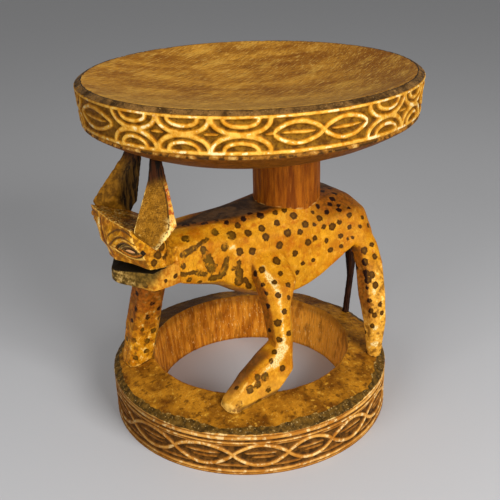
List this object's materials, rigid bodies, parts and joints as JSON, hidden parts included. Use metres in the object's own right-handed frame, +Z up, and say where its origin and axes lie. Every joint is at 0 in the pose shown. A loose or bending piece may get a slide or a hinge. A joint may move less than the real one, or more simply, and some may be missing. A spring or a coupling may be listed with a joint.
{
  "type": "animal stool",
  "caption": "Round stool carved as a spotted leopard that stands on a carved ring and carries a dished seat with a relief band.",
  "frame": {"origin": "on the floor under the centre of the seat", "axes": "+Z up, the leopard's head towards -X and its left flank towards -Y"},
  "size_m": [0.38, 0.38, 0.415],
  "materials": {
    "seat_wood": "worn oiled wood with ochre-painted relief band",
    "stem_wood": "red-brown wood with upright grain",
    "leopard_coat": "ochre paint with dark brown spots, worn pale on ridges",
    "jaw_wood": "dark stained wood",
    "eye_wood": "olive-brown paint",
    "ear_wood": "matt brown-ochre paint with pale edges",
    "tail_wood": "dark stained wood",
    "base_wood": "worn ochre-brown paint over carved wood"
  },
  "bodies": {
    "root": {"seat": "seat_wood", "seat_post": "stem_wood", "torso": "leopard_coat", "neck": "leopard_coat", "head": "leopard_coat", "lower_jaw": "jaw_wood", "left_eye": "eye_wood", "right_eye": "eye_wood", "left_ear": "ear_wood", "right_ear": "ear_wood", "left_foreleg": "leopard_coat", "right_foreleg": "leopard_coat", "left_hind_leg": "leopard_coat", "right_hind_leg": "leopard_coat", "tail": "tail_wood", "base_ring": "base_wood"}
  },
  "joints": []
}
